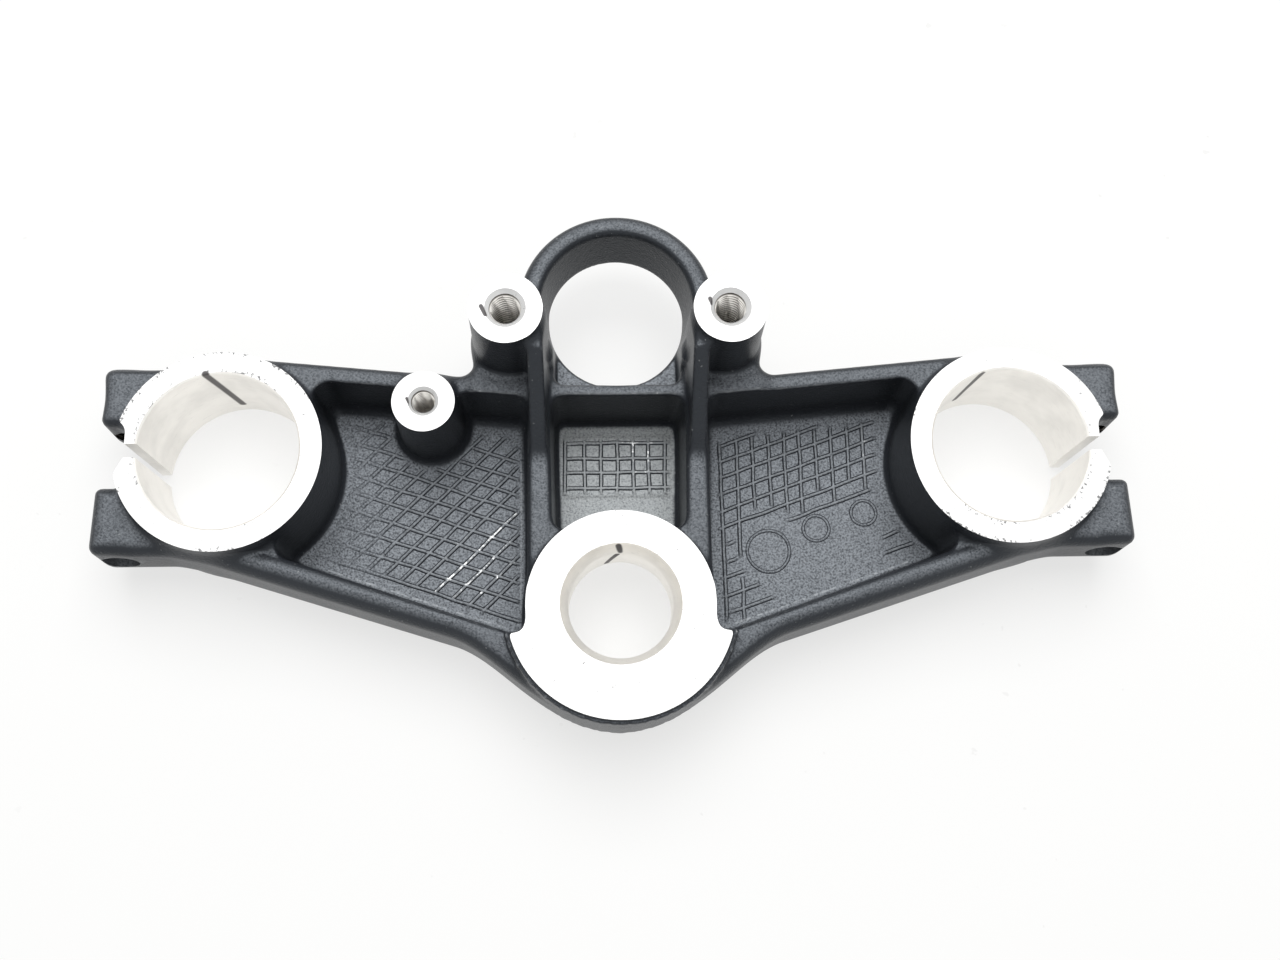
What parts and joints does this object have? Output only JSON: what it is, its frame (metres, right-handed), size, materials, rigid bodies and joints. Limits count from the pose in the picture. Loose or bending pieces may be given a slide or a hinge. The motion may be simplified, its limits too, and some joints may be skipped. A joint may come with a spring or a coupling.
{
  "type": "motorcycle top triple clamp",
  "caption": "Ribbed cast bridge with a split fork clamp at each end, a central steering stem bore, an open key switch ring and tall threaded bosses.",
  "frame": {"origin": "steering stem axis at the level of the face that the part rests on, which is the upper side of the bridge in use", "axes": "+X to the right along the line between the forks, +Y towards the key switch ring at the front, +Z out of the ribbed side along the stem"},
  "size_m": [0.244, 0.1231, 0.044],
  "materials": {
    "black_casting": "satin black paint on cast aluminium, bare where machined"
  },
  "bodies": {
    "root": {"fork_bridge": "black_casting"}
  },
  "joints": []
}
